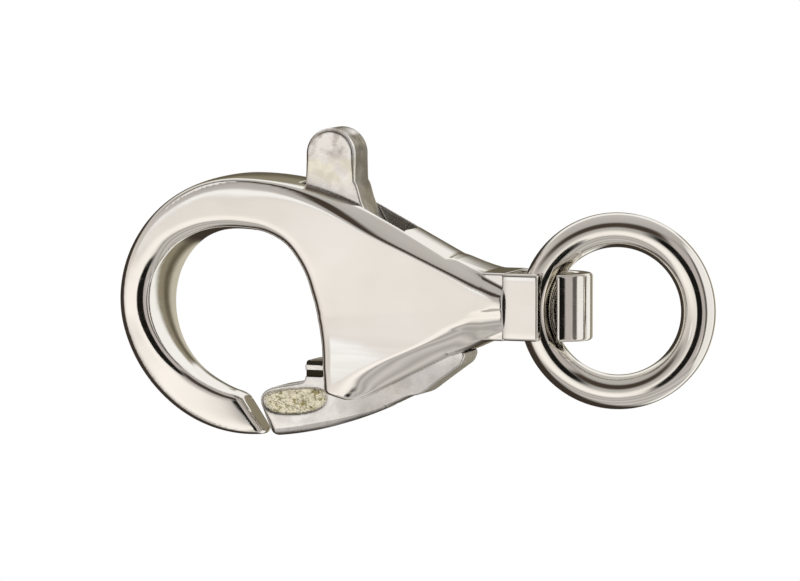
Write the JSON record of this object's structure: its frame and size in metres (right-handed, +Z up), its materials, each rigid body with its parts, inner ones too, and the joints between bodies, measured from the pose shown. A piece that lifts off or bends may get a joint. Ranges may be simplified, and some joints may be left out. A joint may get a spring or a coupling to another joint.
{
  "type": "lobster clasp",
  "caption": "Polished lobster clasp with a sprung lever, a blank rounded gate, a thumb tab and a folded bail that carries a closed jump ring.",
  "frame": {"origin": "middle of the box on the surface that the clasp lies on", "axes": "+X from the hook to the jump ring, +Y from the gate to the thumb tab, +Z up through the thickness"},
  "size_m": [0.0159, 0.0082, 0.0025],
  "materials": {
    "body_silver": "polished silver",
    "lever_silver": "cast silver, tumbled, slightly warm",
    "pin_silver": "plain wire, riveted flush",
    "spring_steel": "stainless spring wire",
    "bail_silver": "polished silver strip",
    "ring_silver": "polished silver wire"
  },
  "bodies": {
    "clasp": {"body": "body_silver", "pivot_pin": "pin_silver", "lever_spring": "spring_steel", "bail": "bail_silver"},
    "lever": {"lever": "lever_silver"},
    "jump_ring": {"jump_ring": "ring_silver"}
  },
  "joints": [
    {"name": "lever_pivot", "type": "hinge", "parent": "clasp", "child": "lever", "pos_m": [-0.00066, -0.00084, 0.00123], "axis": [0, 0, 1], "range_deg": [-16, 0], "stiffness_Nm_per_rad": 0.02},
    {"name": "ring_swing", "type": "hinge", "parent": "clasp", "child": "jump_ring", "pos_m": [0.00348, -0.00054, 0.00123], "axis": [0, -1, 0], "range_deg": [0, 150]}
  ]
}
